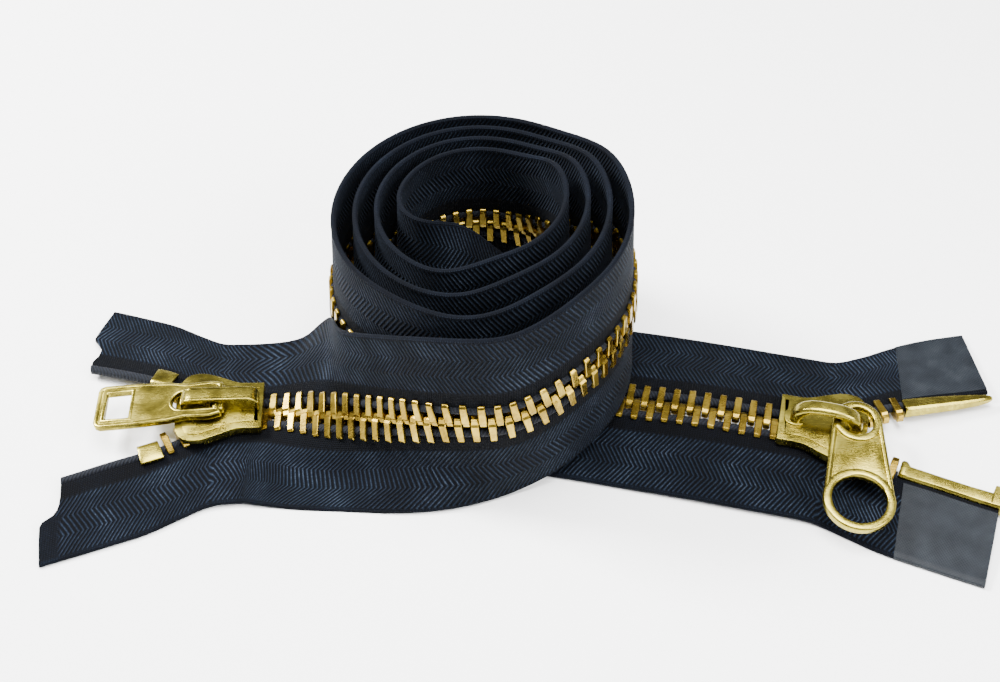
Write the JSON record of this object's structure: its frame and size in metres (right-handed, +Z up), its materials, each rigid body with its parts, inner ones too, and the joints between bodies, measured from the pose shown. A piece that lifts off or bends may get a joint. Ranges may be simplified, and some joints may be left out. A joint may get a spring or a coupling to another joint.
{
  "type": "zipper",
  "caption": "Heavy two-way separating zipper with metal teeth, rolled on edge into a coil with both tape ends and their sliders lying out flat.",
  "frame": {"origin": "bottom centre of the bounding box: the surface the zipper lies on", "axes": "+X from the top-stop end to the pin end, +Y away from the front of the coil, +Z up"},
  "size_m": [0.1906, 0.0908, 0.0475],
  "materials": {
    "tape": "navy herringbone woven polyester",
    "cord": "tight woven cord",
    "teeth": "polished, warm",
    "cast": "bright plated casting",
    "film": "grey translucent reinforcement film"
  },
  "bodies": {
    "chain": {"tape_far": "tape", "tape_near": "tape", "bead_cord_far": "cord", "bead_cord_near": "cord", "tooth_row_far": "teeth", "tooth_row_near": "teeth"},
    "end_a_far": {"tape_end_a_far": "tape", "cord_end_a_far": "cord", "tooth_a_far_1": "teeth", "tooth_a_far_2": "teeth", "tooth_a_far_3": "teeth", "top_stop_a_far": "cast"},
    "end_a_near": {"tape_end_a_near": "tape", "cord_end_a_near": "cord", "tooth_a_near_1": "teeth", "tooth_a_near_2": "teeth", "tooth_a_near_3": "teeth", "top_stop_a_near": "cast"},
    "end_b_far": {"tape_end_b_far": "tape", "cord_end_b_far": "cord", "tooth_b_far_1": "teeth", "tooth_b_far_2": "teeth", "tooth_b_far_3": "teeth", "tooth_b_far_4": "teeth", "tooth_b_far_5": "teeth", "end_film_b_far": "film", "insertion_pin": "cast"},
    "end_b_near": {"tape_end_b_near": "tape", "cord_end_b_near": "cord", "tooth_b_near_1": "teeth", "tooth_b_near_2": "teeth", "tooth_b_near_3": "teeth", "tooth_b_near_4": "teeth", "end_film_b_near": "film", "retaining_pin": "cast"},
    "slider_a": {"slider_a_body": "cast", "slider_a_cap": "cast"},
    "slider_a_lock": {"slider_a_lock_pin": "cast"},
    "pull_a": {"slider_a_pull": "cast"},
    "slider_b": {"slider_b_body": "cast"},
    "pull_b": {"slider_b_pull": "cast"}
  },
  "joints": [
    {"name": "slider_a_slide", "type": "slide", "parent": "chain", "child": "slider_a", "axis": [-0.9992, -0.0401, 0], "range_m": [0, 0.0045]},
    {"name": "end_a_far_close", "type": "hinge", "parent": "chain", "child": "end_a_far", "pos_m": [-0.06528, -0.00503, 0.003], "axis": [0, 0, 1], "range_deg": [0, 5]},
    {"name": "end_a_near_close", "type": "hinge", "parent": "chain", "child": "end_a_near", "pos_m": [-0.06528, -0.00503, 0.003], "axis": [0, 0, 1], "range_deg": [-4, 0]},
    {"name": "slider_b_slide", "type": "slide", "parent": "chain", "child": "slider_b", "axis": [0.974, -0.2267, 0], "range_m": [0, 0.01]},
    {"name": "end_b_far_close", "type": "hinge", "parent": "chain", "child": "end_b_far", "pos_m": [0.05872, -0.00983, 0.003], "axis": [0, 0, 1], "range_deg": [-12, 0]},
    {"name": "end_b_near_close", "type": "hinge", "parent": "chain", "child": "end_b_near", "pos_m": [0.05872, -0.00983, 0.003], "axis": [0, 0, 1], "range_deg": [0, 8]},
    {"name": "pull_a_lift", "type": "hinge", "parent": "slider_a", "child": "pull_a", "pos_m": [-0.06478, -0.00501, 0.0079], "axis": [-0.0401, 0.9992, 0], "range_deg": [0, 135]},
    {"name": "lock_pin_lift", "type": "slide", "parent": "slider_a", "child": "slider_a_lock", "axis": [0, 0, 1], "range_m": [0, 0.0008]},
    {"name": "pull_b_swing", "type": "hinge", "parent": "slider_b", "child": "pull_b", "pos_m": [0.06418, -0.0111, 0.00785], "axis": [-0.0121, -0.0968, 0.9952], "range_deg": [-30, 85]}
  ],
  "couplings": [
    {"joint": "end_a_far_close", "follows": "slider_a_slide", "rad_per_m": 19.391},
    {"joint": "end_a_near_close", "follows": "slider_a_slide", "rad_per_m": -15.512},
    {"joint": "end_b_far_close", "follows": "slider_b_slide", "rad_per_m": -20.942},
    {"joint": "end_b_near_close", "follows": "slider_b_slide", "rad_per_m": 13.961},
    {"joint": "lock_pin_lift", "follows": "pull_a_lift", "m_per_rad": 0.0003392}
  ]
}
